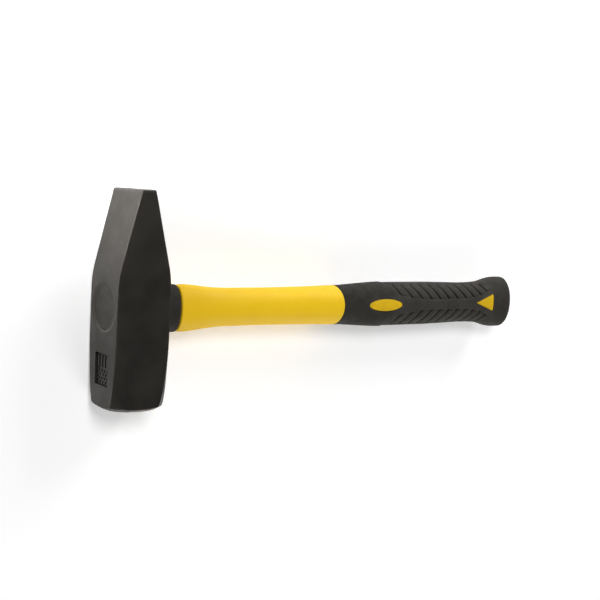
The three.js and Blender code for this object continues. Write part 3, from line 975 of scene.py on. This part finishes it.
# Soft boxes: name, place in metres, size in metres, power in watts
SOFT_BOXES = [("beside_face", (0.5, -1.2, 0.6), 0.8, 7.5), ("beside_pein", (0.9, 1.0, 0.6), 0.6, 7.0),
              ("overhead", (-0.3, 0.6, 1.4), 0.6, 11.5)]
SUBJECT = Vector((0.05, 0, 0.02))
PEIN_LIGHT = ("pein_side", (-0.25, 0.12, 0.05), 0.1, 0.15)  # a small lamp, low beside the pein
PEIN_TARGET = Vector((-0.005, 0.09, 0.018))
PEIN_SPREAD = 43  # degrees
FLOOR_GLOW = (0.39, 0.95)  # the floor is lit from below too: faintly by the hammer, fully at a distance
FLOOR_GLOW_REACH = (0.45, 1.3)  # metres from the hammer between those two
HORIZON_GLOW = 0.9
HORIZON_HEIGHT = (0.08, 0.45)  # of a direction, where 1 is straight up. The world darkens between these.

CAMERA_PLACE = Vector((-353.3, 85.2, 668.7 + AXIS_Z))
CAMERA_RIGHT = Vector((0.8124, 0.0523, 0.5807))
CAMERA_UP = Vector((0.0149, 0.9938, -0.1104))
CAMERA_LENS = 72.55


def build_studio(floor_height):
    """Floor, surroundings and lamps."""
    bpy.ops.mesh.primitive_plane_add(size=12, location=(0.1, 0, floor_height))
    floor = bpy.context.object
    floor.name = "studio_floor"
    floor.data.materials.append(floor_material())
    floor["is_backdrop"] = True
    bpy.context.scene.world = studio_surroundings()
    for box in SOFT_BOXES:
        add_light(*box, SUBJECT)
    add_light(*PEIN_LIGHT, PEIN_TARGET, PEIN_SPREAD)
    scene = bpy.context.scene
    scene.view_settings.view_transform = "Standard"
    scene.view_settings.look = "None"


def studio_surroundings():
    """Pale at the horizon only, so that upward faces have little to reflect."""
    world = bpy.data.worlds.new("studio")
    world.use_nodes = True
    tree = world.node_tree
    direction = tree.nodes.new("ShaderNodeTexCoord").outputs["Generated"]
    parts = tree.nodes.new("ShaderNodeSeparateXYZ")
    tree.links.new(direction, parts.inputs[0])
    fade = smooth_rise(tree, parts.outputs["Z"], (*HORIZON_HEIGHT, HORIZON_GLOW, 0))
    tree.links.new(fade, tree.nodes["Background"].inputs["Strength"])
    tree.nodes["Background"].inputs["Color"].default_value = (1, 1, 1, 1)
    return world


def add_light(name, place, size, power, target, spread=180):
    """A round soft box, aimed at the target, that no camera sees."""
    light = bpy.data.lights.new(name, "AREA")
    light.shape = "DISK"
    light.size = size
    light.energy = power
    light.spread = math.radians(spread)
    lamp = bpy.data.objects.new(name, light)
    lamp.location = place
    lamp.rotation_euler = (target - Vector(place)).to_track_quat("-Z", "Y").to_euler()
    lamp.visible_camera = False
    bpy.context.scene.collection.objects.link(lamp)


def build_camera():
    """Above the hammer's side and towards its front, with the pein upwards in the view."""
    back = CAMERA_RIGHT.cross(CAMERA_UP).normalized()
    up = back.cross(CAMERA_RIGHT).normalized()
    data = bpy.data.cameras.new("camera")
    data.lens = CAMERA_LENS
    data.clip_start = 0.05
    camera = bpy.data.objects.new("camera", data)
    turn = Matrix((CAMERA_RIGHT, up, back)).transposed().to_4x4()
    camera.matrix_world = Matrix.Translation(CAMERA_PLACE * MM) @ turn
    bpy.context.scene.collection.objects.link(camera)
    bpy.context.scene.camera = camera


# ---------- Assembly ----------

def finish_piece(piece, node, material):
    """Gives a piece its material, and puts it in place of its CAD node."""
    piece.data.materials.clear()
    piece.data.materials.append(material)
    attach(piece, "root")
    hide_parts(node)


build_camera()
rubber = rubber_material("grip_rubber", rgb(0.0150, 0.0143, 0.0124), rgb(0.040, 0.0378, 0.0335))
sleeve_rubber = rubber_material("sleeve_rubber", rgb(0.018, 0.0175, 0.0145), rgb(0.025, 0.0240, 0.0205))
finish_piece(build_head(), "hammer_head", head_material())
finish_piece(build_resin(), "eye_resin", resin_material())
finish_piece(build_sleeve(), "neck_sleeve", sleeve_rubber)
finish_piece(build_jacket(), "handle_jacket", jacket_material())
finish_piece(build_grip(), "grip", rubber)
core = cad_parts["handle_core"]
core.data.materials.clear()
core.data.materials.append(core_material())
build_studio(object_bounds()[0].z)
